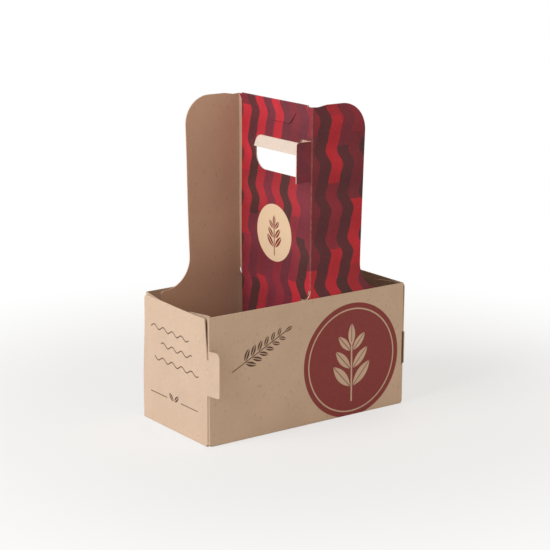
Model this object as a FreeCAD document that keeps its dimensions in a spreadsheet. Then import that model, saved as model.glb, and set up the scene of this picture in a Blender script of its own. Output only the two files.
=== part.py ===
import FreeCAD, Part
import Sketcher
import math
import os

# A cardboard carrier for two cups. A kraft tray, folded from one blank, holds the cups.
# A second blank, folded to a Z, is glued inside it: its two plies part the wells and
# carry the hand hole, and its two wings stiffen the tray's long walls.
# Millimetres. X runs along the tray, Y across it with the front at -Y, and Z is up.
# The origin is the middle of the footprint. Both blanks repeat after a half turn, except
# for the tongue, flap and lock, which only one ply has, and the tab behind one slot.

doc = FreeCAD.newDocument("cup_carrier")
sheet = doc.addObject("Spreadsheet::Sheet", "Sizes")

SIZES = [
    # the board of both blanks
    ("board", 0.7),
    ("fold_round", 1),
    ("glue_line", 0.1),
    # tray, over its outer faces
    ("tray_length", 172),
    ("tray_width", 86),
    ("tray_height", 91),
    # end panels: how far each edge stands in from the tray's side
    ("end_bottom_inset", 1.2),
    ("end_root_inset", 0.8),
    ("end_rim_inset", 3.3),
    ("end_drop", 1),
    ("end_corner_round", 1.5),
    ("plain_bottom_inset", 3),
    ("plain_rim_inset", 1.9),
    ("plain_corner_round", 3),
    # hook that stands out of each end panel past the tray's corner
    ("hook_reach", 11.5),
    ("hook_foot", 36.8),
    ("hook_root_top", 62),
    ("hook_top", 68.2),
    ("hook_slit", 2),
    ("hook_round", 3.5),
    ("hook_turn", 11),
    # slots in the other two corner folds
    ("slot_foot", 29.4),
    ("slot_rise", 25.2),
    ("slot_margin", 0.5),
    # tab of the right end panel that sits behind the front slot
    ("slot_tab_inset", 1.2),
    ("slot_tab_clear", 0.6),
    # dust flaps inside the end panels
    ("hook_corner_inset", 0.8),
    ("slot_corner_inset", 2.3),
    ("dust_flap_length", 34),
    ("dust_flap_swing", 2.3),
    ("dust_flap_lift", 0.5),
    ("dust_flap_slope", 4),
    # handle of two plies with a fold along the top
    ("handle_height", 226),
    ("ply_gap", 0.4),
    ("ply_stop", 3.2),
    # wings over the long walls, leaning out to the top, and their glue panels below the rim
    ("wing_lean", 2),
    ("wing_reach", 46),
    ("wing_waist", 43.2),
    ("wing_round", 20),
    ("wing_flare", 22),
    ("wing_dip", 1.2),
    ("wing_dip_run", 4.5),
    ("wing_dip_length", 12),
    ("glue_drop", 1.5),
    ("glue_reach", 70),
    ("glue_round", 3),
    ("fold_flare", 7.5),
    ("flare_margin", 2),
    # tongue of the front wing, cut out of its ply beside the hand hole
    ("tongue_length", 12.2),
    ("tongue_drop", 24),
    ("tongue_rise", 28),
    ("tongue_round", 2),
    ("tongue_notch", 17.5),
    # hand hole through both plies
    ("hole_drop", 27),
    ("hole_rise", 24.3),
    ("hole_inset", 20.2),
    ("hole_overlap", 0.5),
    ("hole_foot_round", 11.5),
    ("hole_top_round", 6),
    ("hole_end_round", 2),
    ("hole_margin", 1.2),
    # flap left hanging from the top of the hand hole
    ("grip_depth", 9),
    ("grip_clear", 0.5),
    ("grip_inset", 3),
    ("grip_turn", 20),
    # lock pressed out of the front ply above the hand hole
    ("lock_offset", -10),
    ("lock_drop", 7.2),
    ("lock_depth", 7.5),
    ("lock_top_half", 16),
    ("lock_foot_half", 10),
    ("lock_round", 3),
    ("lock_slit", 0.4),
    ("lock_turn", 7),
]
for row, (name, value) in enumerate(SIZES, 1):
    sheet.set(f"A{row}", name)
    sheet.set(f"B{row}", str(value))
    sheet.setAlias(f"B{row}", name)
doc.recompute()


def origin_part(body, role):
    """A plane or axis of the body's own origin."""
    return next(part for part in body.Origin.OriginFeatures if part.Role == role)


def new_sketch(body, name, role, lift=None, hinge=None):
    """A sketch on an origin plane, lifted off it, or turned about a hinge line.

    hinge holds the two in-plane places, the axis and the angle of the turn.
    """
    sketch = body.newObject("Sketcher::SketchObject", name)
    sketch.AttachmentSupport = [(origin_part(body, role), "")]
    sketch.MapMode = "FlatFace"
    if hinge:
        across, up, axis, angle = hinge
        turn = FreeCAD.Rotation(axis, sketch.evalExpression(angle))
        sketch.AttachmentOffset = FreeCAD.Placement(FreeCAD.Vector(), turn)
        sketch.setExpression("AttachmentOffset.Base.x", across)
        sketch.setExpression("AttachmentOffset.Base.y", up)
        sketch.setExpression("AttachmentOffset.Rotation.Angle", angle)
    if lift:
        sketch.setExpression("AttachmentOffset.Base.z", lift)
    return sketch


def draw_outline(sketch, corners):
    """Close a polygon through the corners, each (across, up) or (across, up, radius)."""
    count = len(corners)
    points = [FreeCAD.Vector(*[sketch.evalExpression(place) for place in corner[:2]], 0)
              for corner in corners]
    arrivals, departures, arcs = list(points), list(points), {}
    for index, corner in enumerate(corners):
        if len(corner) == 3:
            point = points[index]
            radius = sketch.evalExpression(corner[2])
            back = (points[index - 1] - point).normalize()
            ahead = (points[(index + 1) % count] - point).normalize()
            half_angle = back.getAngle(ahead) / 2
            middle = point + (back + ahead).normalize() * (radius / math.sin(half_angle))
            arrivals[index] = point + back * (radius / math.tan(half_angle))
            departures[index] = point + ahead * (radius / math.tan(half_angle))
            turns_left = back.cross(ahead).z < 0
            first, last = arrivals[index] - middle, departures[index] - middle
            if not turns_left:
                first, last = last, first
            start = math.atan2(first.y, first.x)
            sweep = (math.atan2(last.y, last.x) - start) % (2 * math.pi)
            circle = Part.Circle(middle, FreeCAD.Vector(0, 0, 1), radius)
            arcs[index] = (Part.ArcOfCircle(circle, start, start + sweep), turns_left)

    sides = [sketch.addGeometry(Part.LineSegment(departures[index], arrivals[(index + 1) % count]))
             for index in range(count)]
    for index, corner in enumerate(corners):
        mark = sketch.addGeometry(Part.Point(points[index]), True)
        before, after = sides[index - 1], sides[index]
        for kind, place, value in (("DistanceX", corner[0], points[index].x),
                                   ("DistanceY", corner[1], points[index].y)):
            number = sketch.addConstraint(Sketcher.Constraint(kind, -1, 1, mark, 1, value))
            sketch.renameConstraint(number, f"{kind}{number}")
            sketch.setExpression(f"Constraints.{kind}{number}", place)
        if index not in arcs:
            sketch.addConstraint(Sketcher.Constraint("Coincident", before, 2, mark, 1))
            sketch.addConstraint(Sketcher.Constraint("Coincident", after, 1, mark, 1))
            continue
        curve, turns_left = arcs[index]
        near, far = (1, 2) if turns_left else (2, 1)
        arc = sketch.addGeometry(curve)
        sketch.addConstraint(Sketcher.Constraint("PointOnObject", mark, 1, before))
        sketch.addConstraint(Sketcher.Constraint("PointOnObject", mark, 1, after))
        sketch.addConstraint(Sketcher.Constraint("Tangent", before, 2, arc, near))
        sketch.addConstraint(Sketcher.Constraint("Tangent", after, 1, arc, far))
        number = sketch.addConstraint(Sketcher.Constraint("Radius", arc, curve.Radius))
        sketch.renameConstraint(number, f"Round{number}")
        sketch.setExpression(f"Constraints.Round{number}", corner[2])


def extrude(body, kind, name, sketch, length, symmetric=False, reverse=False):
    """Pad or pocket a sketch by a length."""
    feature = body.newObject(f"PartDesign::{kind}", name)
    feature.Profile = sketch
    feature.setExpression("Length", length)
    feature.SideType = "Symmetric" if symmetric else "One side"
    feature.Reversed = reverse
    doc.recompute()
    return feature


def half_turn(body, name, features):
    """Repeat features after a half turn about the upright axis."""
    pattern = body.newObject("PartDesign::PolarPattern", name)
    pattern.Originals = features
    pattern.Axis = (origin_part(body, "Z_Axis"), [""])
    pattern.Angle = 360
    pattern.Occurrences = 2
    body.Tip = pattern
    doc.recompute()


# Places that both blanks share.
BOARD = "Sizes.board"
ROUND = "Sizes.fold_round"
INNER_ROUND = "(Sizes.fold_round - Sizes.board)"
END = "(Sizes.tray_length / 2)"
SIDE = "(Sizes.tray_width / 2)"
RIM = "Sizes.tray_height"


# The tray: floor and long walls, corner folds with dust flaps, then the end panels.
tray = doc.addObject("PartDesign::Body", "outer_tray")
tray.Label = "outer_tray"
HOOK_CORNER = f"({END} - Sizes.hook_corner_inset)"
SLOT_CORNER = f"({END} - Sizes.slot_corner_inset)"

# Floor and long walls: one U across the tray, creased along both long edges.
sketch = new_sketch(tray, "walls_section", "YZ_Plane")
draw_outline(sketch, [
    (f"-{SIDE}", RIM),
    (f"-{SIDE}", "0", ROUND),
    (SIDE, "0", ROUND),
    (SIDE, RIM),
    (f"{SIDE} - {BOARD}", RIM),
    (f"{SIDE} - {BOARD}", BOARD, INNER_ROUND),
    (f"-{SIDE} + {BOARD}", BOARD, INNER_ROUND),
    (f"-{SIDE} + {BOARD}", RIM),
])
extrude(tray, "Pad", "walls", sketch, f"2 * ({SLOT_CORNER} - {ROUND})", symmetric=True)

# Front wall seen from above, with a dust flap turned in at each corner. The one at the
# hook starts close to the end panel and swings in behind it.
flap_foot = f"{ROUND} + Sizes.dust_flap_lift"
flap_end = f"-{SIDE} + Sizes.dust_flap_length"
sketch = new_sketch(tray, "corner_folds_plan", "XY_Plane", lift=flap_foot)
draw_outline(sketch, [
    (f"-{HOOK_CORNER} + Sizes.dust_flap_swing", flap_end),
    (f"-{HOOK_CORNER}", f"-{SIDE}", ROUND),
    (SLOT_CORNER, f"-{SIDE}", ROUND),
    (SLOT_CORNER, flap_end),
    (f"{SLOT_CORNER} - {BOARD}", flap_end),
    (f"{SLOT_CORNER} - {BOARD}", f"-{SIDE} + {BOARD}", INNER_ROUND),
    (f"-{HOOK_CORNER} + {BOARD}", f"-{SIDE} + {BOARD}", INNER_ROUND),
    (f"-{HOOK_CORNER} + Sizes.dust_flap_swing + {BOARD}", flap_end),
])
folds = extrude(tray, "Pad", "corner_folds", sketch, f"{RIM} - ({flap_foot})")

# The dust flaps' top edges fall towards their free ends.
slope_start = f"-{SIDE} + {ROUND}"
slope_end = f"{flap_end} + {BOARD}"
sketch = new_sketch(tray, "dust_flap_slope_side", "YZ_Plane")
draw_outline(sketch, [
    (slope_start, f"{RIM} + {BOARD}"),
    (slope_start, RIM),
    (slope_end, f"{RIM} - Sizes.dust_flap_slope"),
    (slope_end, f"{RIM} + {BOARD}"),
])
slopes = extrude(tray, "Pocket", "dust_flap_slope", sketch, "Sizes.tray_length", symmetric=True)

# Slot for a hook, cut through the fold at the front right corner.
slot_edge = f"{SLOT_CORNER} - {ROUND} - Sizes.slot_margin"
sketch = new_sketch(tray, "corner_slot_plan", "XY_Plane", lift="Sizes.slot_foot")
draw_outline(sketch, [
    (slot_edge, f"-{SIDE} - {BOARD}"),
    (f"{SLOT_CORNER} + {BOARD}", f"-{SIDE} - {BOARD}"),
    (f"{SLOT_CORNER} + {BOARD}", f"-{SIDE} + {ROUND} + Sizes.slot_margin"),
    (slot_edge, f"-{SIDE} + {ROUND} + Sizes.slot_margin"),
])
slot = extrude(tray, "Pocket", "corner_slot", sketch, "Sizes.slot_rise", reverse=True)
half_turn(tray, "back_folds", [folds, slopes, slot])

# Floor again, now with the crease at each end.
hook_foot_edge = f"-({SIDE} - Sizes.end_bottom_inset)"
plain_foot_edge = f"({SIDE} - Sizes.plain_bottom_inset)"
crease_top = f"{ROUND} + {BOARD}"
sketch = new_sketch(tray, "ends_section", "XZ_Plane")
draw_outline(sketch, [
    (f"-{END}", crease_top),
    (f"-{END}", "0", ROUND),
    (END, "0", ROUND),
    (END, crease_top),
    (f"{END} - {BOARD}", crease_top),
    (f"{END} - {BOARD}", BOARD, INNER_ROUND),
    (f"-{END} + {BOARD}", BOARD, INNER_ROUND),
    (f"-{END} + {BOARD}", crease_top),
])
extrude(tray, "Pad", "end_creases", sketch, f"2 * {plain_foot_edge}", symmetric=True)

# Left end panel. Its front edge carries the hook and narrows above it to the rim.
hook_line = f"-({SIDE} - Sizes.end_root_inset)"
sketch = new_sketch(tray, "end_panel_outline", "YZ_Plane", lift=f"-{END}")
draw_outline(sketch, [
    (f"{hook_foot_edge} + {crease_top}", ROUND),
    (plain_foot_edge, ROUND),
    (f"{SIDE} - Sizes.plain_rim_inset", f"{RIM} - Sizes.end_drop", "Sizes.plain_corner_round"),
    (f"-({SIDE} - Sizes.end_rim_inset)", f"{RIM} - Sizes.end_drop", "Sizes.end_corner_round"),
    (hook_line, "Sizes.hook_root_top"),
    (hook_line, "Sizes.hook_foot"),
    (hook_foot_edge, crease_top),
])
end_panel = extrude(tray, "Pad", "end_panel", sketch, BOARD)

# The hook is cut from the same panel and stands a little off its plane.
sketch = new_sketch(tray, "hook_outline", "YZ_Plane", lift=f"-{END}",
                    hinge=(hook_line, "0", FreeCAD.Vector(0, 1, 0), "Sizes.hook_turn"))
draw_outline(sketch, [
    (f"{BOARD} / 2", "Sizes.hook_foot"),
    (f"{BOARD} / 2", "Sizes.hook_root_top"),
    ("-Sizes.hook_slit", "Sizes.hook_root_top"),
    ("-Sizes.hook_slit", "Sizes.hook_top", BOARD),
    ("-Sizes.hook_reach", "Sizes.hook_top", "Sizes.hook_round"),
    ("-Sizes.hook_reach", "Sizes.hook_foot", "Sizes.end_corner_round"),
])
hook = extrude(tray, "Pad", "hook", sketch, BOARD)
half_turn(tray, "right_end", [end_panel, hook])

# Tab on the right end panel's plain edge, seen through the slot in the front corner fold.
tab_foot = "(Sizes.slot_foot + Sizes.slot_tab_clear)"
tab_top = "(Sizes.slot_foot + Sizes.slot_rise - Sizes.slot_tab_clear)"
sketch = new_sketch(tray, "slot_tab_outline", "YZ_Plane", lift=f"{END} - {BOARD}")
draw_outline(sketch, [
    (f"-({SIDE} - Sizes.slot_tab_inset)", tab_foot, BOARD),
    (f"-({SIDE} - Sizes.slot_tab_inset)", tab_top, BOARD),
    (f"-{plain_foot_edge} + {ROUND}", tab_top),
    (f"-{plain_foot_edge} + {ROUND}", tab_foot),
])
extrude(tray, "Pad", "slot_tab", sketch, BOARD)


# The handle and divider: a wing and its ply, the same again after a half turn,
# and the fold along the top that joins the two plies.
divider = doc.addObject("PartDesign::Body", "handle_divider")
divider.Label = "handle_divider"
PLY_FACE = "(Sizes.ply_gap / 2 + Sizes.board)"
WING_FACE = "(Sizes.tray_width / 2 - Sizes.board - Sizes.glue_line)"
PLY_FOOT = "(Sizes.board + Sizes.glue_line)"
GLUE_FOOT = "(Sizes.fold_round + Sizes.glue_line)"
TOP = "Sizes.handle_height"
CROWN = f"({TOP} - {PLY_FACE})"
GLUE_TOP = "(Sizes.tray_height - Sizes.glue_drop)"
FLARE_TOP = f"({GLUE_TOP} + Sizes.fold_flare)"
TONGUE_TOP = f"({TOP} - Sizes.tongue_drop)"
TONGUE_FOOT = f"({TONGUE_TOP} - Sizes.tongue_rise)"
HOLE_TOP = f"({TOP} - Sizes.hole_drop)"
HOLE_FOOT = f"({HOLE_TOP} - Sizes.hole_rise)"
HOLE_MIDDLE = f"({HOLE_TOP} - Sizes.hole_rise / 2)"


def wing_face_at(height):
    """How far out the wing's outer face stands at a height, from the glue panel up."""
    return f"({WING_FACE} + Sizes.wing_lean * ({height} - {GLUE_TOP}) / ({TOP} - {GLUE_TOP}))"


# Front wing and glue panel, seen from the side: upright to the rim, then leaning out.
sketch = new_sketch(divider, "wing_section", "YZ_Plane")
draw_outline(sketch, [
    (f"-{WING_FACE}", GLUE_FOOT),
    (f"-{WING_FACE} + {BOARD}", GLUE_FOOT),
    (f"-{WING_FACE} + {BOARD}", GLUE_TOP),
    (f"-{wing_face_at(TOP)} + {BOARD}", TOP),
    (f"-{wing_face_at(TOP)}", TOP),
    (f"-{WING_FACE}", GLUE_TOP),
])
wing = extrude(divider, "Pad", "wing", sketch, f"2 * (Sizes.glue_reach + {BOARD})", symmetric=True)

# Its outline, trimmed from the front: the fold on one side, the free edge with its round
# shoulder on the other, and both sides flared out into the glue panel.
wing_edge = f"-{PLY_FACE} + {ROUND}"
glue_end = f"-{PLY_FACE} - Sizes.fold_flare"
trim_end = f"(Sizes.glue_reach + 2 * {BOARD})"
sketch = new_sketch(divider, "wing_outline", "XZ_Plane", lift=f"{wing_face_at(TOP)} + {BOARD}")
draw_outline(sketch, [
    (f"-{trim_end}", "0"),
    (trim_end, "0"),
    (trim_end, f"{TOP} + {BOARD}"),
    (f"-{trim_end}", f"{TOP} + {BOARD}"),
])
draw_outline(sketch, [
    (wing_edge, CROWN),
    (wing_edge, GLUE_TOP, "Sizes.fold_flare"),
    (glue_end, GLUE_TOP),
    (glue_end, GLUE_FOOT),
    ("Sizes.glue_reach", GLUE_FOOT, "Sizes.glue_round"),
    ("Sizes.glue_reach", GLUE_TOP, "Sizes.glue_round"),
    ("Sizes.wing_waist", GLUE_TOP, "Sizes.wing_flare"),
    ("Sizes.wing_reach", TOP, "Sizes.wing_round"),
    (f"{wing_edge} + Sizes.wing_dip_length", TOP),
    (f"{wing_edge} + Sizes.wing_dip_run", f"{TOP} - Sizes.wing_dip"),
])
trim = extrude(divider, "Pocket", "wing_trim", sketch, f"Sizes.wing_lean + 3 * {BOARD}")

# Front ply, between the wells. Its front edge is the wing's fold, rounded off above the
# glue panel.
lower_edge = f"-({WING_FACE} - {ROUND}) + Sizes.fold_flare + Sizes.flare_margin"
back_edge = f"{WING_FACE} - Sizes.ply_stop"
sketch = new_sketch(divider, "ply_outline", "YZ_Plane", lift=f"-{PLY_FACE}")
draw_outline(sketch, [
    (f"-{wing_face_at(CROWN)} + {ROUND}", CROWN),
    (f"-{WING_FACE} + {ROUND}", GLUE_TOP, "Sizes.fold_flare"),
    (lower_edge, GLUE_TOP),
    (lower_edge, PLY_FOOT),
    (back_edge, PLY_FOOT),
    (back_edge, CROWN),
])
ply = extrude(divider, "Pad", "ply", sketch, BOARD)

# Fold over the top of both plies, seen along it: creased flat, with rounded shoulders.
sketch = new_sketch(divider, "top_fold_section", "XZ_Plane")
draw_outline(sketch, [
    (f"-{PLY_FACE}", f"{CROWN} - {BOARD}"),
    (f"-{PLY_FACE}", TOP, BOARD),
    (PLY_FACE, TOP, BOARD),
    (PLY_FACE, f"{CROWN} - {BOARD}"),
    ("Sizes.ply_gap / 2", f"{CROWN} - {BOARD}"),
    ("Sizes.ply_gap / 2", f"{TOP} - {BOARD}"),
    ("-Sizes.ply_gap / 2", f"{TOP} - {BOARD}"),
    ("-Sizes.ply_gap / 2", f"{CROWN} - {BOARD}"),
])
extrude(divider, "Pad", "top_fold", sketch, f"2 * ({back_edge})", symmetric=True)

# Fold between ply and wing. It leans as the wing does.
face = wing_face_at(FLARE_TOP)
sketch = new_sketch(divider, "wing_fold_plan", "XY_Plane", lift=FLARE_TOP)
draw_outline(sketch, [
    (f"-{PLY_FACE}", f"-{face} + {ROUND} + {BOARD}"),
    (f"-{PLY_FACE}", f"-{face}", ROUND),
    (f"-{PLY_FACE} + {ROUND} + {BOARD}", f"-{face}"),
    (f"-{PLY_FACE} + {ROUND} + {BOARD}", f"-{face} + {BOARD}"),
    (f"-{PLY_FACE} + {BOARD}", f"-{face} + {BOARD}", INNER_ROUND),
    (f"-{PLY_FACE} + {BOARD}", f"-{face} + {ROUND} + {BOARD}"),
])
fold = extrude(divider, "Pad", "wing_fold", sketch, f"{CROWN} - {FLARE_TOP}")
fold.UseCustomVector = True
fold.AlongSketchNormal = True
fold.setExpression("Direction.x", "0")
fold.setExpression("Direction.y", "-Sizes.wing_lean")
fold.setExpression("Direction.z", f"{TOP} - {GLUE_TOP}")
doc.recompute()
half_turn(divider, "back_half", [wing, trim, ply, fold])

# The front wing's tongue is cut free of its ply: the ply is opened first, then the fold.
tongue_end = f"-({wing_face_at(HOLE_MIDDLE)} - Sizes.tongue_length)"
notch_end = f"-({wing_face_at(HOLE_MIDDLE)} - Sizes.tongue_notch)"
beyond = f"-({wing_face_at(TOP)} + {BOARD})"
sketch = new_sketch(divider, "tongue_opening_outline", "YZ_Plane", lift=f"-{PLY_FACE}")
draw_outline(sketch, [
    (beyond, TONGUE_TOP),
    (tongue_end, TONGUE_TOP, "Sizes.tongue_round"),
    (tongue_end, HOLE_MIDDLE),
    (notch_end, HOLE_MIDDLE),
    (notch_end, TONGUE_FOOT),
    (beyond, TONGUE_FOOT),
])
extrude(divider, "Pocket", "tongue_opening", sketch, BOARD, reverse=True)
fold_end = f"-({wing_face_at(TONGUE_FOOT)} - {ROUND})"
sketch = new_sketch(divider, "fold_opening_outline", "YZ_Plane", lift=f"-{PLY_FACE}")
draw_outline(sketch, [
    (beyond, TONGUE_TOP),
    (fold_end, TONGUE_TOP),
    (fold_end, TONGUE_FOOT),
    (beyond, TONGUE_FOOT),
])
extrude(divider, "Pocket", "fold_opening", sketch, ROUND, reverse=True)

# The tongue itself goes on in the wing's own plane, with a round corner at its top.
tongue_tip = f"-{PLY_FACE} - Sizes.tongue_length"
sketch = new_sketch(divider, "tongue_section", "YZ_Plane", lift=wing_edge)
draw_outline(sketch, [
    (f"-{wing_face_at(TONGUE_FOOT)}", TONGUE_FOOT),
    (f"-{wing_face_at(TONGUE_FOOT)} + {BOARD}", TONGUE_FOOT),
    (f"-{wing_face_at(TONGUE_TOP)} + {BOARD}", TONGUE_TOP),
    (f"-{wing_face_at(TONGUE_TOP)}", TONGUE_TOP),
])
extrude(divider, "Pad", "tongue", sketch, f"{ROUND} + Sizes.tongue_length", reverse=True)
sketch = new_sketch(divider, "tongue_corner_outline", "XZ_Plane", lift=f"{wing_face_at(TOP)} + {BOARD}")
corner_reach = f"Sizes.tongue_round + {BOARD}"
draw_outline(sketch, [
    (f"{tongue_tip} - {BOARD}", f"{TONGUE_TOP} - {corner_reach}"),
    (tongue_tip, f"{TONGUE_TOP} - {corner_reach}"),
    (tongue_tip, TONGUE_TOP, "Sizes.tongue_round"),
    (f"{tongue_tip} + {corner_reach}", TONGUE_TOP),
    (f"{tongue_tip} + {corner_reach}", f"{TONGUE_TOP} + {BOARD}"),
    (f"{tongue_tip} - {BOARD}", f"{TONGUE_TOP} + {BOARD}"),
])
extrude(divider, "Pocket", "tongue_corner", sketch, f"Sizes.wing_lean + 3 * {BOARD}")

# Hand hole through both plies. At the front it opens into the tongue's notch.
hole_front = f"{tongue_end} - Sizes.hole_overlap"
hole_back = f"({WING_FACE} - Sizes.hole_inset)"
sketch = new_sketch(divider, "hand_hole_outline", "YZ_Plane")
draw_outline(sketch, [
    (hole_front, HOLE_TOP, "Sizes.hole_end_round"),
    (hole_front, HOLE_FOOT, "Sizes.hole_end_round"),
    (hole_back, HOLE_FOOT, "Sizes.hole_foot_round"),
    (hole_back, HOLE_TOP, "Sizes.hole_top_round"),
])
extrude(divider, "Pocket", "hand_hole", sketch, f"4 * {PLY_FACE}", symmetric=True)
sketch = new_sketch(divider, "back_hole_outline", "YZ_Plane")
draw_outline(sketch, [
    (f"{hole_front} + {BOARD}", HOLE_TOP),
    (f"{hole_front} + {BOARD}", f"{HOLE_FOOT} - Sizes.hole_margin"),
    (f"{hole_back} + Sizes.hole_margin", f"{HOLE_FOOT} - Sizes.hole_margin", "Sizes.hole_foot_round"),
    (f"{hole_back} + Sizes.hole_margin", HOLE_TOP, "Sizes.hole_top_round"),
])
extrude(divider, "Pocket", "back_hole", sketch, f"2 * {PLY_FACE}", reverse=True)

# Flap left on the back ply at the top of the hole, pushed out through the front ply.
grip_back = f"{hole_back} - Sizes.grip_clear"
grip_front = f"{hole_front} + Sizes.grip_inset"
sketch = new_sketch(divider, "grip_flap_outline", "YZ_Plane", lift="Sizes.ply_gap / 2",
                    hinge=("0", HOLE_TOP, FreeCAD.Vector(1, 0, 0), "Sizes.grip_turn"))
draw_outline(sketch, [
    (grip_front, f"{BOARD} / 2"),
    (grip_front, "-Sizes.grip_depth"),
    (grip_back, "-Sizes.grip_depth"),
    (grip_back, f"{BOARD} / 2", "Sizes.hole_top_round"),
])
extrude(divider, "Pad", "grip_flap", sketch, BOARD)

# Lock: a tab slit free of the front ply on three sides and pressed forward.
lock_top = f"({TOP} - Sizes.lock_drop)"
lock_foot = f"({lock_top} - Sizes.lock_depth - Sizes.lock_slit)"
sketch = new_sketch(divider, "lock_window_outline", "YZ_Plane", lift=f"-{PLY_FACE}")
draw_outline(sketch, [
    ("Sizes.lock_offset - Sizes.lock_top_half - Sizes.lock_slit", lock_top),
    ("Sizes.lock_offset + Sizes.lock_top_half + Sizes.lock_slit", lock_top),
    ("Sizes.lock_offset + Sizes.lock_foot_half + Sizes.lock_slit", lock_foot,
     "Sizes.lock_round + Sizes.lock_slit"),
    ("Sizes.lock_offset - Sizes.lock_foot_half - Sizes.lock_slit", lock_foot,
     "Sizes.lock_round + Sizes.lock_slit"),
])
before_lock = divider.Shape.Volume
extrude(divider, "Pocket", "lock_window", sketch, BOARD, reverse=True)
after_lock = divider.Shape.Volume
sketch = new_sketch(divider, "lock_tab_outline", "YZ_Plane", lift=f"-{PLY_FACE}",
                    hinge=("0", lock_top, FreeCAD.Vector(1, 0, 0), "Sizes.lock_turn"))
draw_outline(sketch, [
    ("Sizes.lock_offset - Sizes.lock_top_half", f"{BOARD} / 2"),
    ("Sizes.lock_offset + Sizes.lock_top_half", f"{BOARD} / 2"),
    ("Sizes.lock_offset + Sizes.lock_foot_half", "-Sizes.lock_depth", "Sizes.lock_round"),
    ("Sizes.lock_offset - Sizes.lock_foot_half", "-Sizes.lock_depth", "Sizes.lock_round"),
])
extrude(divider, "Pad", "lock_tab", sketch, BOARD)

doc.recompute()

for item in doc.Objects:
    if "Invalid" in item.State or "Error" in item.State:
        raise RuntimeError(f"{item.Label} failed: {item.State}")
if not after_lock < before_lock:
    raise RuntimeError("the lock window cut nothing")
os.makedirs("parts", exist_ok=True)
for body in (tray, divider):
    shape = body.Shape
    if shape.isNull() or not shape.isValid() or len(shape.Solids) != 1:
        raise RuntimeError(f"{body.Label} is not one valid solid")
    shape.exportStep(f"parts/{body.Label}.step")
    box = shape.BoundBox
    print(body.Label, round(shape.Volume), "mm3", [round(side, 2) for side in
          (box.XMin, box.XMax, box.YMin, box.YMax, box.ZMin, box.ZMax)])
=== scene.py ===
import math

import bmesh
import bpy
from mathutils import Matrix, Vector, noise
from mathutils.bvhtree import BVHTree


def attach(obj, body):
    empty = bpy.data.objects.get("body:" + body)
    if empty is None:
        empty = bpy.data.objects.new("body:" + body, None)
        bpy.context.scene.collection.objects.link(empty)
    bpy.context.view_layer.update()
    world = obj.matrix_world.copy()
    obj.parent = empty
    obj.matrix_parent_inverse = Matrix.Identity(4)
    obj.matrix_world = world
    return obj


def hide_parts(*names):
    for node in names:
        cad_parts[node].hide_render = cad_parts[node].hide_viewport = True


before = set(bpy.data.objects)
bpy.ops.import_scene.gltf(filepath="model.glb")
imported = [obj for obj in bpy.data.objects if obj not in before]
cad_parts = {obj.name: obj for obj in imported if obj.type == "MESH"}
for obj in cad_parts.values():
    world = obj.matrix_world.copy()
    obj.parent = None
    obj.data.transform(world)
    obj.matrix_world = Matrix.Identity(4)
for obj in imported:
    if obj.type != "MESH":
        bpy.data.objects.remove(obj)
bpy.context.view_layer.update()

MM = 0.001


# ---------------------------------------------------------------------------------------
# The tray: one blank of natural kraft board, die cut, scored and folded up into a floor,
# two long walls and two end panels whose hooks lock into the corner folds. The board is
# grey-brown recycled fibre with a machine-finished face, and its edges are cut bare.
BOARD = 0.7 * MM
CELL = 6.5 * MM  # the board is cut to cells of this size, so that it can bow
PROBE = 0.02 * MM
CREASE = math.radians(40)  # a bend as sharp as this shows as an edge


def board_copy(node, is_outside):
    """The node's board as a merged bmesh: material 0 outer face, 1 inner face, 2 cut edge."""
    board = bmesh.new()
    board.from_mesh(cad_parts[node].data)
    bmesh.ops.remove_doubles(board, verts=board.verts, dist=0.002 * MM)
    board.normal_update()
    solid = BVHTree.FromBMesh(board)
    for face in board.faces:
        centre = face.calc_center_median()
        depth = PROBE + (solid.ray_cast(centre - face.normal * PROBE, -face.normal)[3] or 0)
        width = 2 * face.calc_area() / max(edge.calc_length() for edge in face.edges)
        if 0.85 * BOARD < depth < 1.15 * BOARD or width > 1.2 * BOARD:
            face.material_index = 0 if is_outside(centre, face.normal) else 1
        else:
            face.material_index = 2
    bmesh.ops.dissolve_limit(board, angle_limit=math.radians(0.5), verts=board.verts,
                             edges=board.edges, delimit={"MATERIAL"})
    bmesh.ops.triangulate(board, faces=[face for face in board.faces if len(face.verts) > 4])
    return board


def cut_in_cells(board):
    """Cut the board along upright and level planes, so that it can bow smoothly."""
    for axis in range(3):
        normal = Vector([float(axis == side) for side in range(3)])
        low = min(vert.co[axis] for vert in board.verts)
        high = max(vert.co[axis] for vert in board.verts)
        for step in range(1, int((high - low) / CELL) + 1):
            geometry = board.verts[:] + board.edges[:] + board.faces[:]
            bmesh.ops.bisect_plane(board, geom=geometry, dist=0.01 * MM,
                                   plane_co=normal * (low + step * CELL), plane_no=normal)


def ramp(value, low, high):
    """0 below low and 1 above high, both given in millimetres, and smooth between them."""
    low, high = low * MM, high * MM
    place = min(max((value - low) / (high - low), 0), 1)
    return place * place * (3 - 2 * place)


WAVER = 0.45 * MM
END_LEAN = 2.2 * MM
BACK_BULGE = 1.5 * MM
FLAP_PUSH = 4.4 * MM


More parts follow.
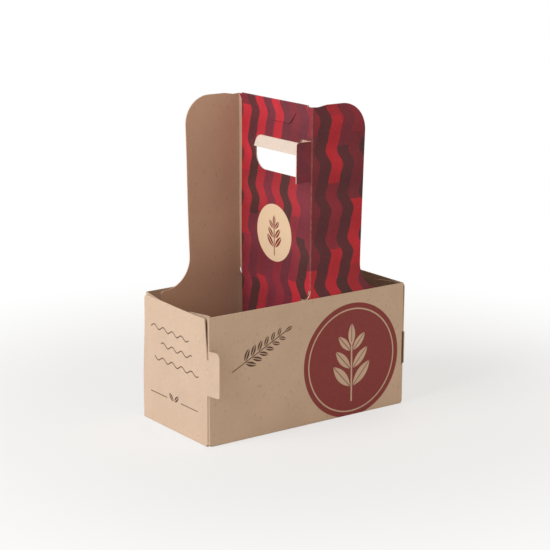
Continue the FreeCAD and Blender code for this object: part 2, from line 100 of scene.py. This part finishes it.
def settle(place):
    """Where a point of the flat-sided board moves to as the folded carrier relaxes."""
    x, y, z = place
    rise = ramp(z, 4, 60)
    bow = noise.noise(Vector((x * 17, y * 17 + 3.1, z * 17))) * WAVER
    bow *= 1 - ramp(abs(y), 43.5, 48)
    sway = noise.noise(Vector((x * 15 + 7.7, y * 15, z * 15))) * WAVER
    end = ramp(abs(x), 60, 86)
    shift = sway * (1 - end) - math.copysign(abs(sway), x) * end
    # The left end panel leans in at its back edge, and the back wall and wing bulge.
    if x < 0:
        shift += END_LEAN * ramp(z, 10, 85) * ramp(y, -20, 40) * end
    bulge = BACK_BULGE * ramp(z, 25, 100) * (1 - 0.6 * ramp(z, 140, 226))
    bulge *= ramp(y, 36, 42.5) * (1 - ramp(abs(x), 30, 84))
    # Above each hook the dust flap is pushed in, away from the end panel's narrow part.
    if 78 * MM < abs(x) < 85.25 * MM and x * y > 0:
        push = FLAP_PUSH * ramp(z, 58, 80) * ramp(43 * MM - abs(y), 0.7, 3.6)
        shift -= math.copysign(push, x)
    return Vector((x + shift * rise, y + bow * rise + bulge, z))


def finish_board(board, name, node, materials, to_sheet):
    """Bow the board, lay its sheet coordinates on it and make it stand for the node."""
    cut_in_cells(board)
    sheet = board.loops.layers.uv.new("sheet")
    for face in board.faces:
        centre = face.calc_center_median()
        for loop in face.loops:
            loop[sheet].uv = to_sheet(loop.vert.co, centre, face.normal)
    for vert in board.verts:
        vert.co = settle(vert.co)
    board.normal_update()
    for edge in board.edges:
        kinds = {face.material_index for face in edge.link_faces}
        edge.smooth = len(kinds) == 1 and edge.calc_face_angle(0) < CREASE
    for face in board.faces:
        face.smooth = True
    mesh = bpy.data.meshes.new(name)
    board.to_mesh(mesh)
    board.free()
    for material in materials:
        mesh.materials.append(material)
    piece = bpy.data.objects.new(name, mesh)
    bpy.context.collection.objects.link(piece)
    weigh = piece.modifiers.new("even_faces", "WEIGHTED_NORMAL")
    weigh.keep_sharp = True
    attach(piece, "root")
    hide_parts(node)


def node_group(name, inputs, outputs):
    """A shader node group with float or vector inputs and outputs, and its two ends."""
    group = bpy.data.node_groups.new(name, "ShaderNodeTree")
    for label, kind, value in inputs:
        socket = group.interface.new_socket(label, in_out="INPUT", socket_type=f"NodeSocket{kind}")
        socket.default_value = value
    for label, kind in outputs:
        group.interface.new_socket(label, in_out="OUTPUT", socket_type=f"NodeSocket{kind}")
    return group, group.nodes.new("NodeGroupInput").outputs, group.nodes.new("NodeGroupOutput").inputs


def wire(tree, value, socket):
    """Link a socket to another, or write a plain value in it."""
    if isinstance(value, bpy.types.NodeSocket):
        tree.links.new(value, socket)
    else:
        socket.default_value = value


def math_node(tree, operation, *values, clamp=False):
    node = tree.nodes.new("ShaderNodeMath")
    node.operation = operation
    node.use_clamp = clamp
    for value, socket in zip(values, node.inputs):
        wire(tree, value, socket)
    return node.outputs[0]


def vector_node(tree, operation, *values):
    node = tree.nodes.new("ShaderNodeVectorMath")
    node.operation = operation
    for value, socket in zip(values, node.inputs):
        wire(tree, value, socket)
    return node.outputs["Value" if operation in ("LENGTH", "DOT_PRODUCT") else "Vector"]


def noise_node(tree, vector, scale, detail=2.0, roughness=0.5):
    node = tree.nodes.new("ShaderNodeTexNoise")
    wire(tree, vector, node.inputs["Vector"])
    node.inputs["Scale"].default_value = scale
    node.inputs["Detail"].default_value = detail
    node.inputs["Roughness"].default_value = roughness
    return node.outputs


def range_node(tree, value, low, high, to_low=0.0, to_high=1.0, smooth=False):
    node = tree.nodes.new("ShaderNodeMapRange")
    node.interpolation_type = "SMOOTHSTEP" if smooth else "LINEAR"
    for socket, number in zip(node.inputs, (value, low, high, to_low, to_high)):
        wire(tree, number, socket)
    return node.outputs["Result"]


def mix_node(tree, factor, first, second, blend="MIX"):
    node = tree.nodes.new("ShaderNodeMix")
    node.data_type = "RGBA"
    node.blend_type = blend
    wire(tree, factor, node.inputs["Factor"])
    wire(tree, first, node.inputs[6])
    wire(tree, second, node.inputs[7])
    return node.outputs[2]


def srgb(red, green, blue):
    """A colour picked on an 8-bit screen, as the linear values that the shader wants."""
    def linear(level):
        level /= 255
        return level / 12.92 if level <= 0.04045 else ((level + 0.055) / 1.055) ** 2.4
    return (linear(red), linear(green), linear(blue), 1.0)


def stretched(tree, vector, scale, turn):
    node = tree.nodes.new("ShaderNodeMapping")
    wire(tree, vector, node.inputs["Vector"])
    node.inputs["Rotation"].default_value = [math.radians(angle) for angle in turn]
    node.inputs["Scale"].default_value = scale
    return node.outputs["Vector"]


# Pulp fibres of the board: slow clouds in the sheet, short fibres lying every way, and
# sparse dark and pale flecks of recycled stock.
fibres, given, out = node_group(
    "pulp_fibres", [("Place", "Vector", (0, 0, 0))],
    [("Cloud", "Float"), ("Fibre", "Float"), ("Dark fleck", "Float"), ("Pale fleck", "Float"),
     ("Height", "Float")])
clouds = noise_node(fibres, given["Place"], 38, 3, 0.55)["Fac"]
grain = noise_node(fibres, given["Place"], 420, 4, 0.65)["Fac"]
strands = []
for scale, turn in (((1900, 1900, 260), (12, 8, 0)), ((300, 2100, 2100), (5, 14, 31)),
                    ((2000, 280, 1500), (-24, 40, 12))):
    strands.append(noise_node(fibres, stretched(fibres, given["Place"], scale, turn), 1, 1)["Fac"])
fibre = math_node(fibres, "MAXIMUM", strands[0], math_node(fibres, "MAXIMUM", *strands[1:]))
flecks = []
for scale, turn, low in (((520, 900, 340), (20, 35, 10), 0.735), ((700, 380, 620), (50, 15, 70), 0.74)):
    spots = noise_node(fibres, stretched(fibres, given["Place"], scale, turn), 1, 0)["Fac"]
    flecks.append(range_node(fibres, spots, low, low + 0.05))
wire(fibres, clouds, out["Cloud"])
wire(fibres, range_node(fibres, fibre, 0.45, 0.85), out["Fibre"])
wire(fibres, flecks[0], out["Dark fleck"])
wire(fibres, flecks[1], out["Pale fleck"])
relief = math_node(fibres, "MULTIPLY_ADD", fibre, 0.6, math_node(fibres, "MULTIPLY", grain, 0.5))
wire(fibres, relief, out["Height"])


def add_group(tree, group, **inputs):
    node = tree.nodes.new("ShaderNodeGroup")
    node.node_tree = group
    for name, value in inputs.items():
        wire(tree, value, node.inputs[name])
    return node.outputs


def shade_of(colour, factor):
    return [min(level * factor, 1.0) for level in colour[:3]] + [1.0]


def kraft_colour(tree, place, base):
    """Kraft stock: a base tint clouded, fibred and flecked."""
    pulp = add_group(tree, fibres, Place=place)
    colour = mix_node(tree, range_node(tree, pulp["Cloud"], 0.3, 0.72), shade_of(base, 0.95),
                      shade_of(base, 1.04))
    for kind, share, shade in (("Fibre", 0.3, 1.15), ("Dark fleck", 0.5, 0.74), ("Pale fleck", 0.45, 1.2)):
        cover = math_node(tree, "MULTIPLY", pulp[kind], share)
        colour = mix_node(tree, cover, colour, shade_of(base, shade))
    return colour, pulp


def new_material(name, roughness, specular=0.35):
    """A material, its tree and its Principled shader, with the plain values set on it."""
    material = bpy.data.materials.new(name)
    material.use_nodes = True
    tree = material.node_tree
    shader = tree.nodes["Principled BSDF"]
    shader.inputs["Roughness"].default_value = roughness
    shader.inputs["Specular IOR Level"].default_value = specular
    return material, tree, shader


def bump(tree, shader, height, strength, distance):
    node = tree.nodes.new("ShaderNodeBump")
    node.inputs["Strength"].default_value = strength
    node.inputs["Distance"].default_value = distance
    wire(tree, height, node.inputs["Height"])
    tree.links.new(node.outputs["Normal"], shader.inputs["Normal"])


def object_place(tree):
    return tree.nodes.new("ShaderNodeTexCoord").outputs["Object"]


def sheet_place(tree):
    """Sheet coordinates in millimetres, a little unsteady as a flexo print's edge is."""
    layer = tree.nodes.new("ShaderNodeUVMap")
    layer.uv_map = "sheet"
    place = vector_node(tree, "SCALE", layer.outputs["UV"])
    place.node.inputs["Scale"].default_value = 1000
    ragged = noise_node(tree, place, 2.1, 2)["Color"]
    ragged = vector_node(tree, "SUBTRACT", ragged, (0.5, 0.5, 0.5))
    return vector_node(tree, "MULTIPLY_ADD", ragged, (0.35, 0.35, 0), place)


KRAFT = srgb(209, 183, 160)
KRAFT_BARE = srgb(236, 209, 184)
INK_BROWN = srgb(84, 52, 40)
INK_MAROON = srgb(132, 50, 48)


# Flexo-printed ornaments: shapes measured in millimetres on the sheet. A leaf has a bare
# vein, and a stroke has round ends.
leaf, given, out = node_group(
    "ink_leaf", [("Place", "Vector", (0, 0, 0)), ("Centre", "Vector", (0, 0, 0)),
                 ("Turn", "Float", 0), ("Length", "Float", 1), ("Width", "Float", 1)],
    [("Leaf", "Float")])
spin = leaf.nodes.new("ShaderNodeVectorRotate")
spin.rotation_type = "Z_AXIS"
wire(leaf, given["Place"], spin.inputs["Vector"])
wire(leaf, given["Centre"], spin.inputs["Center"])
wire(leaf, math_node(leaf, "MULTIPLY", given["Turn"], -math.pi / 180), spin.inputs["Angle"])
local = leaf.nodes.new("ShaderNodeSeparateXYZ")
wire(leaf, vector_node(leaf, "SUBTRACT", spin.outputs[0], given["Centre"]), local.inputs[0])
along = math_node(leaf, "DIVIDE", local.outputs["X"], given["Length"])
across = math_node(leaf, "ABSOLUTE", math_node(leaf, "DIVIDE", local.outputs["Y"], given["Width"]))
bow = math_node(leaf, "SUBTRACT", 1, math_node(leaf, "MULTIPLY", along, along))
body = math_node(leaf, "SUBTRACT", bow, across)
vein = math_node(leaf, "MULTIPLY", across, given["Width"])
cut = math_node(leaf, "MULTIPLY", range_node(leaf, body, 0, 0.1), range_node(leaf, vein, 0.18, 0.4))
wire(leaf, cut, out["Leaf"])

stroke, given, out = node_group(
    "ink_stroke", [("Place", "Vector", (0, 0, 0)), ("Start", "Vector", (0, 0, 0)),
                   ("End", "Vector", (0, 0, 0)), ("Width", "Float", 1)], [("Stroke", "Float")])
run = vector_node(stroke, "SUBTRACT", given["End"], given["Start"])
reach = vector_node(stroke, "SUBTRACT", given["Place"], given["Start"])
share = math_node(stroke, "DIVIDE", vector_node(stroke, "DOT_PRODUCT", reach, run),
                  vector_node(stroke, "DOT_PRODUCT", run, run), clamp=True)
nearest = vector_node(stroke, "SCALE", run)
wire(stroke, share, nearest.node.inputs["Scale"])
gap = vector_node(stroke, "LENGTH", vector_node(stroke, "SUBTRACT", reach, nearest))
half = math_node(stroke, "MULTIPLY", given["Width"], 0.5)
edge = math_node(stroke, "SUBTRACT", half, gap)
wire(stroke, range_node(stroke, edge, -0.12, 0.12), out["Stroke"])


def union(tree, masks):
    total = masks[0]
    for mask in masks[1:]:
        total = math_node(tree, "MAXIMUM", total, mask)
    return total


def disc(tree, place, centre, radius):
    away = vector_node(tree, "LENGTH", vector_node(tree, "SUBTRACT", place, centre))
    return range_node(tree, away, radius - 0.15, radius + 0.15, 1, 0)


def sprig(tree, place, foot, turn, length, pairs, leaf_size, width=0.9):
    """A plain plant sprig: a stem with pairs of leaves and one at its tip."""
    heading = Vector((math.cos(math.radians(turn)), math.sin(math.radians(turn)), 0))
    aside = Vector((-heading.y, heading.x, 0))
    foot = Vector(foot)
    tip = foot + heading * length
    masks = [add_group(tree, stroke, Place=place, Start=foot, End=tip, Width=width)[0]]
    for pair in range(pairs):
        joint = foot + heading * length * (0.22 + 0.62 * pair / max(pairs - 1, 1))
        reach = leaf_size * (1 - 0.28 * pair / max(pairs - 1, 1))
        for side in (1, -1):
            lean = math.radians(42) * side
            centre = joint + (heading * math.cos(lean) + aside * math.sin(lean)) * reach * 1.12
            masks.append(add_group(tree, leaf, Place=place, Centre=centre,
                                   Turn=turn + math.degrees(lean), Length=reach,
                                   Width=reach * 0.36)[0])
    crown = tip + heading * leaf_size * 0.5
    masks.append(add_group(tree, leaf, Place=place, Centre=crown, Turn=float(turn),
                           Length=leaf_size * 0.75, Width=leaf_size * 0.27)[0])
    return union(tree, masks)


def ink_cover(tree, place):
    """How well the ink took on the rough stock: nearly solid, with pinholes."""
    return range_node(tree, noise_node(tree, place, 900, 3, 0.7)["Fac"], 0.28, 0.44, 0.93, 1.0)


# The long walls' prints lie at sheet x from -200 to 200, and the end panels' round 395.
END_MIDDLE = 395
EMBLEM = (36.5, 41, 0)
WAVY_RULES = ((70, -32, 20), (59, -18, 24), (48, -26, 32))
PLAIN_RULE = 22.5


def wavy_rule(tree, sheet, level, start, stop):
    """One hand-drawn wavy rule on an end panel."""
    part = tree.nodes.new("ShaderNodeSeparateXYZ")
    wire(tree, sheet, part.inputs[0])
    phase = math_node(tree, "MULTIPLY", part.outputs["X"], 0.5)
    height = math_node(tree, "MULTIPLY_ADD", math_node(tree, "SINE", phase), -1.3,
                       math_node(tree, "SUBTRACT", part.outputs["Y"], level))
    slope = math_node(tree, "MULTIPLY", math_node(tree, "COSINE", phase), 0.65)
    steep = math_node(tree, "SQRT", math_node(tree, "MULTIPLY_ADD", slope, slope, 1))
    away = math_node(tree, "DIVIDE", math_node(tree, "ABSOLUTE", height), steep)
    line = range_node(tree, away, 0.28, 0.5, 1, 0)
    middle, half_run = END_MIDDLE + (start + stop) / 2, (stop - start) / 2
    reach = math_node(tree, "ABSOLUTE", math_node(tree, "SUBTRACT", part.outputs["X"], middle))
    return math_node(tree, "MULTIPLY", line, range_node(tree, reach, half_run - 0.3, half_run + 0.1, 1, 0))


def tray_outside():
    material, tree, shader = new_material("tray_printed_kraft", 0.82)
    place = object_place(tree)
    colour, pulp = kraft_colour(tree, place, KRAFT)
    sheet = sheet_place(tree)
    field = disc(tree, sheet, EMBLEM, 42)
    ring = math_node(tree, "SUBTRACT", disc(tree, sheet, EMBLEM, 38.2), disc(tree, sheet, EMBLEM, 37.2))
    plant = sprig(tree, sheet, (EMBLEM[0], 11, 0), 90, 43, 3, 11.6, 1.3)
    bare = math_node(tree, "MAXIMUM", ring, plant)
    maroon = math_node(tree, "MULTIPLY", field, math_node(tree, "SUBTRACT", 1, bare))
    lines = [sprig(tree, sheet, (-66, 50, 0), 26, 50, 6, 5.2, 0.7)]
    lines += [wavy_rule(tree, sheet, *rule) for rule in WAVY_RULES]
    for side in (1, -1):
        start, stop = (END_MIDDLE + side * 9, PLAIN_RULE, 0), (END_MIDDLE + side * 30, PLAIN_RULE, 0)
        lines.append(add_group(tree, stroke, Place=sheet, Start=start, End=stop, Width=0.6)[0])
        seed = (END_MIDDLE + side * 3.3, PLAIN_RULE + 1.6, 0)
        lines.append(add_group(tree, leaf, Place=sheet, Centre=seed, Turn=90 - side * 48.0,
                               Length=4.2, Width=1.7)[0])
    brown = union(tree, lines)
    cover = ink_cover(tree, place)
    colour = mix_node(tree, math_node(tree, "MULTIPLY", maroon, cover), colour,
                      mix_node(tree, math_node(tree, "MULTIPLY", pulp["Fibre"], 0.35), INK_MAROON,
                               srgb(158, 78, 70)))
    colour = mix_node(tree, math_node(tree, "MULTIPLY", brown, cover), colour, INK_BROWN)
    wire(tree, colour, shader.inputs["Base Color"])
    wire(tree, range_node(tree, math_node(tree, "MAXIMUM", maroon, brown), 0, 1, 0.84, 0.62),
         shader.inputs["Roughness"])
    bump(tree, shader, pulp["Height"], 0.16, 0.1 * MM)
    return material


def plain_kraft(name, base):
    material, tree, shader = new_material(name, 0.88)
    colour, pulp = kraft_colour(tree, object_place(tree), base)
    wire(tree, colour, shader.inputs["Base Color"])
    bump(tree, shader, pulp["Height"], 0.2, 0.1 * MM)
    return material


def cut_edge(name, base):
    """Bare cut edge: pale crushed fibre with the layers of the board running along it."""
    material, tree, shader = new_material(name, 0.93, 0.2)
    place = object_place(tree)
    layers = noise_node(tree, place, 2600, 3, 0.7)["Fac"]
    colour = mix_node(tree, range_node(tree, layers, 0.35, 0.65), shade_of(base, 0.82), base)
    wire(tree, colour, shader.inputs["Base Color"])
    bump(tree, shader, layers, 0.4, 0.08 * MM)
    return material


def tray_is_outside(centre, normal):
    if normal.z < -0.3 and centre.z < 1.5 * MM:
        return True
    if abs(normal.z) > 0.9:
        return False
    return normal.x * math.copysign(1, centre.x) + normal.y * math.copysign(1, centre.y) > 0


def tray_sheet(place, centre, normal):
    """Long walls keep their own run, end panels and hooks lie apart, and the rest has no print."""
    side = math.copysign(1, centre.x)
    if abs(centre.x) > 83.2 * MM and abs(normal.x) > 0.6:
        return (END_MIDDLE * MM + place.y * side, place.z)
    turn = -math.copysign(1, centre.y)
    if abs(centre.y) > 42 * MM and abs(centre.x) < 84.1 * MM:
        return (place.x * turn, place.z)
    return (place.x, -0.3 + place.y)


finish_board(
    board_copy("outer_tray", tray_is_outside), "kraft_tray", "outer_tray",
    [tray_outside(), plain_kraft("tray_inner_kraft", srgb(183, 158, 138)),
     cut_edge("tray_cut_edge", KRAFT_BARE)], tray_sheet)


# ---------------------------------------------------------------------------------------
# The handle and divider: a second blank printed in reds on one side only, folded to a Z so
# that both plies of the handle show print and the wings' inner faces show bare kraft. It
# is glued by its lower panels to the tray's long walls.
DEEP_AND_BRIGHT_REDS = (
    (0.0, (94, 45, 51)), (0.15, (112, 47, 58)), (0.28, (82, 46, 46)), (0.4, (124, 47, 60)),
    (0.5, (190, 45, 57)), (0.64, (142, 47, 59)), (0.76, (170, 46, 56)), (0.88, (124, 46, 56)))
CREAM = srgb(232, 202, 168)
RUBBED_INK = srgb(206, 150, 140)

# The ribbons' width, swing and wave length in millimetres, the height of a run of one ink,
# and the ribbon that the pattern starts from.
RIBBON = 9.8
SWING = 2.3
PERIOD = 31.5
INK_RUN = 47.0
LAYOUT = 7

# The emblem's middle and the fold of the leaning wing, in millimetres on the sheet.
EMBLEM_ON_PLY = (0.8, 131, 0)
WING_FOLD = 41.6
WING_LEAN = 2 / 136.5


def grey(tree, value):
    node = tree.nodes.new("ShaderNodeCombineColor")
    for socket in node.inputs[:3]:
        wire(tree, value, socket)
    return node.outputs[0]


def printed_reds():
    material, tree, shader = new_material("divider_red_print", 0.6, 0.2)
    place = object_place(tree)
    stock, pulp = kraft_colour(tree, place, KRAFT)
    sheet = sheet_place(tree)
    part = tree.nodes.new("ShaderNodeSeparateXYZ")
    wire(tree, sheet, part.inputs[0])
    along, up = part.outputs["X"], part.outputs["Y"]
    # Upright ribbons that swing from side to side. Each changes its ink at its own heights.
    phase = math_node(tree, "MULTIPLY", up, 2 * math.pi / PERIOD)
    twice = math_node(tree, "SINE", math_node(tree, "MULTIPLY", phase, 2))
    swing = math_node(tree, "MULTIPLY_ADD", twice, 0.33, math_node(tree, "SINE", phase))
    lane = math_node(tree, "DIVIDE", math_node(tree, "MULTIPLY_ADD", swing, SWING, along), RIBBON)
    ribbon = math_node(tree, "FLOOR", math_node(tree, "ADD", lane, LAYOUT))
    start = tree.nodes.new("ShaderNodeTexWhiteNoise")
    start.noise_dimensions = "1D"
    wire(tree, ribbon, start.inputs["W"])
    band = math_node(tree, "FLOOR", math_node(tree, "MULTIPLY_ADD", start.outputs["Value"], 1.7,
                                              math_node(tree, "DIVIDE", up, INK_RUN)))
    pick = tree.nodes.new("ShaderNodeTexWhiteNoise")
    pick.noise_dimensions = "2D"
    joined = tree.nodes.new("ShaderNodeCombineXYZ")
    wire(tree, ribbon, joined.inputs["X"])
    wire(tree, band, joined.inputs["Y"])
    wire(tree, joined.outputs[0], pick.inputs["Vector"])
    odd = math_node(tree, "MULTIPLY", math_node(tree, "FLOORED_MODULO", ribbon, 2), 0.5)
    tone = math_node(tree, "MULTIPLY_ADD", pick.outputs["Value"], 0.5, odd)
    inks = tree.nodes.new("ShaderNodeValToRGB")
    inks.color_ramp.interpolation = "CONSTANT"
    for index, (at, ink) in enumerate(DEEP_AND_BRIGHT_REDS):
        stop = inks.color_ramp.elements[index] if index < 2 else inks.color_ramp.elements.new(at)
        stop.position = at
        stop.color = srgb(*ink)
    wire(tree, tone, inks.inputs["Fac"])
    # Each ribbon is a shade lighter where it swings one way than where it swings back.
    cloud = math_node(tree, "MULTIPLY_ADD", math_node(tree, "COSINE", phase), 0.09,
                      range_node(tree, noise_node(tree, place, 60, 3)["Fac"], 0.3, 0.7, 0.92, 1.06))
    ink = mix_node(tree, 1.0, inks.outputs["Color"], grey(tree, cloud), "MULTIPLY")
    # A bare disc in each ply's print carries a small sprig in maroon.
    window = disc(tree, sheet, EMBLEM_ON_PLY, 20.6)
    window = math_node(tree, "MULTIPLY", window, range_node(tree, part.outputs["X"], 38, 39, 1, 0))
    motif = sprig(tree, sheet, (EMBLEM_ON_PLY[0], 115, 0), 90, 21.5, 3, 6.2, 1.0)
    emblem = mix_node(tree, motif, CREAM, INK_MAROON)
    # The ink is rubbed off along the fold between ply and wing.
    fold = math_node(tree, "SUBTRACT", along, math_node(tree, "MULTIPLY_ADD", up, WING_LEAN, WING_FOLD))
    rub = range_node(tree, math_node(tree, "ABSOLUTE", fold), 0.25, 0.95, 1, 0)
    patchy = range_node(tree, noise_node(tree, place, 260, 4, 0.7)["Fac"], 0.38, 0.62)
    rub = math_node(tree, "MULTIPLY", rub, math_node(tree, "MULTIPLY_ADD", patchy, 0.25, 0.12))
    colour = mix_node(tree, ink_cover(tree, place), stock, ink)
    colour = mix_node(tree, rub, colour, RUBBED_INK)
    colour = mix_node(tree, window, colour, emblem)
    wire(tree, colour, shader.inputs["Base Color"])
    wire(tree, math_node(tree, "MULTIPLY_ADD", pulp["Fibre"], 0.14, 0.52), shader.inputs["Roughness"])
    bump(tree, shader, pulp["Height"], 0.14, 0.1 * MM)
    return material


def is_grip_flap(centre, normal):
    """The flap's two leaning faces, under the top of the hand hole."""
    in_hole = -33 * MM < centre.y < 22.5 * MM and 188 * MM < centre.z < 199.4 * MM
    return in_hole and abs(normal.z) > 0.1


def divider_is_outside(centre, normal):
    x, y, z = centre
    if is_grip_flap(centre, normal):
        return normal.x > 0
    if abs(normal.y) > 0.3 and abs(y) > 38 * MM:
        return normal.y * y > 0
    if z > 225 * MM:
        return True
    return normal.x * x > 0


def divider_sheet(place, centre, normal):
    """The blank's own run: across the ply, round the fold and along the wing."""
    if abs(centre.y) > 40.5 * MM:
        front = -math.copysign(1, centre.y)
    else:
        front = -math.copysign(1, centre.x)
    return (front * (place.x - place.y) + 0.9 * MM, place.z)


divider_board = board_copy("handle_divider", divider_is_outside)
for face in divider_board.faces:
    centre = face.calc_center_median()
    # The grip flap's bare faces get a fourth, paler kraft: a painted highlight for the extra light that
    # falls on the flap as it leans up to the left.
    if face.material_index == 1 and is_grip_flap(centre, face.normal):
        face.material_index = 3
    elif centre.z > 208 * MM and abs(centre.x) < 3 * MM and abs(centre.y) < 37 * MM:
        # The print runs over the top fold, and the lock's slits are too fine to show board.
        face.material_index = 0
finish_board(
    divider_board, "printed_divider", "handle_divider",
    [printed_reds(), plain_kraft("divider_inner_kraft", srgb(202, 168, 144)),
     cut_edge("divider_cut_edge", srgb(240, 206, 186)),
     # The fourth kraft is a painted highlight: the inner kraft made paler for the grip flap.
     plain_kraft("grip_flap_painted_highlight", srgb(226, 209, 196))], divider_sheet)


# ---------------------------------------------------------------------------------------
# Pale studio floor and soft light: a large lamp to the left, a weaker warm one in front,
# and a white room around. The floor keeps the carrier's shadow and fades to white.
def seen_directly(tree):
    """1 for what the camera sees, also in a gloss or through a clear thing, and 0 for light."""
    rays = tree.nodes.new("ShaderNodeLightPath").outputs
    through = math_node(tree, "MAXIMUM", rays["Is Glossy Ray"], rays["Is Transmission Ray"])
    return math_node(tree, "MAXIMUM", rays["Is Camera Ray"], through)


floor_mesh = bmesh.new()
bmesh.ops.create_grid(floor_mesh, x_segments=1, y_segments=1, size=6)
floor_data = bpy.data.meshes.new("studio_floor")
floor_mesh.to_mesh(floor_data)
floor_mesh.free()
floor = bpy.data.objects.new("studio_floor", floor_data)
bpy.context.collection.objects.link(floor)
material, tree, shader = new_material("pale_floor", 0.9, 0.1)
shader.inputs["Base Color"].default_value = (0.86, 0.85, 0.84, 1)
seen = seen_directly(tree)
away = vector_node(tree, "LENGTH", object_place(tree))
fade = range_node(tree, away, 0.14, 0.42, 0.62, 1.0, smooth=True)
white = tree.nodes.new("ShaderNodeEmission")
white.inputs["Color"].default_value = (1, 1, 1, 1)
blend = tree.nodes.new("ShaderNodeMixShader")
wire(tree, math_node(tree, "MULTIPLY", seen, fade), blend.inputs["Fac"])
tree.links.new(shader.outputs["BSDF"], blend.inputs[1])
tree.links.new(white.outputs["Emission"], blend.inputs[2])
tree.links.new(blend.outputs["Shader"], tree.nodes["Material Output"].inputs["Surface"])
floor_data.materials.append(material)

world = bpy.data.worlds.new("white_room")
bpy.context.scene.world = world
world.use_nodes = True
tree = world.node_tree
seen = seen_directly(tree)
room = tree.nodes["Background"]
WHITE = (1, 1, 1, 1)
WARM_WHITE = (1.0, 0.92, 0.82, 1)
ROOM_LIGHT = 0.345
wire(tree, mix_node(tree, seen, WARM_WHITE, WHITE), room.inputs["Color"])
wire(tree, range_node(tree, seen, 0, 1, ROOM_LIGHT, 1.0), room.inputs["Strength"])


def soft_lamp(name, place, target, size, power, colour):
    lamp = bpy.data.lights.new(name, "AREA")
    lamp.shape = "SQUARE"
    lamp.size = size
    lamp.energy = power
    lamp.color = colour
    holder = bpy.data.objects.new(name, lamp)
    holder.location = place
    holder.rotation_euler = (Vector(target) - Vector(place)).to_track_quat("-Z", "Y").to_euler()
    bpy.context.collection.objects.link(holder)


soft_lamp("key_left", (-1.5, 0.02, 0.85), (0, 0, 0.08), 0.9, 19.5, (0.98, 0.99, 1.0))
soft_lamp("fill_front", (0.5, -1.6, 0.8), (0, 0, 0.1), 1.2, 5.2, (1.0, 0.82, 0.62))
soft_lamp("back_right", (1.3, 1.2, 0.9), (0, 0, 0.1), 1.2, 5, (1.0, 0.98, 0.96))

# The camera stands at the tray's left front corner, a little above the handle's top.
PICTURE_SIDE = 550
FOCAL_PIXELS = 1745.6
DISTANCE = 1.2419
AZIMUTH = math.radians(-35.547)
ELEVATION = math.radians(13.828)
target = Vector((0.00023, 0, 0.09994))
heading = Vector((math.sin(AZIMUTH) * math.cos(ELEVATION), -math.cos(AZIMUTH) * math.cos(ELEVATION),
                  math.sin(ELEVATION)))
view = bpy.data.cameras.new("camera")
view.sensor_width = 36
view.lens = FOCAL_PIXELS / PICTURE_SIDE * view.sensor_width
view.clip_start = 0.01
camera = bpy.data.objects.new("camera", view)
camera.location = target + heading * DISTANCE
camera.rotation_euler = (-heading).to_track_quat("-Z", "Y").to_euler()
bpy.context.collection.objects.link(camera)
bpy.context.scene.camera = camera
bpy.context.scene.view_settings.view_transform = "Standard"
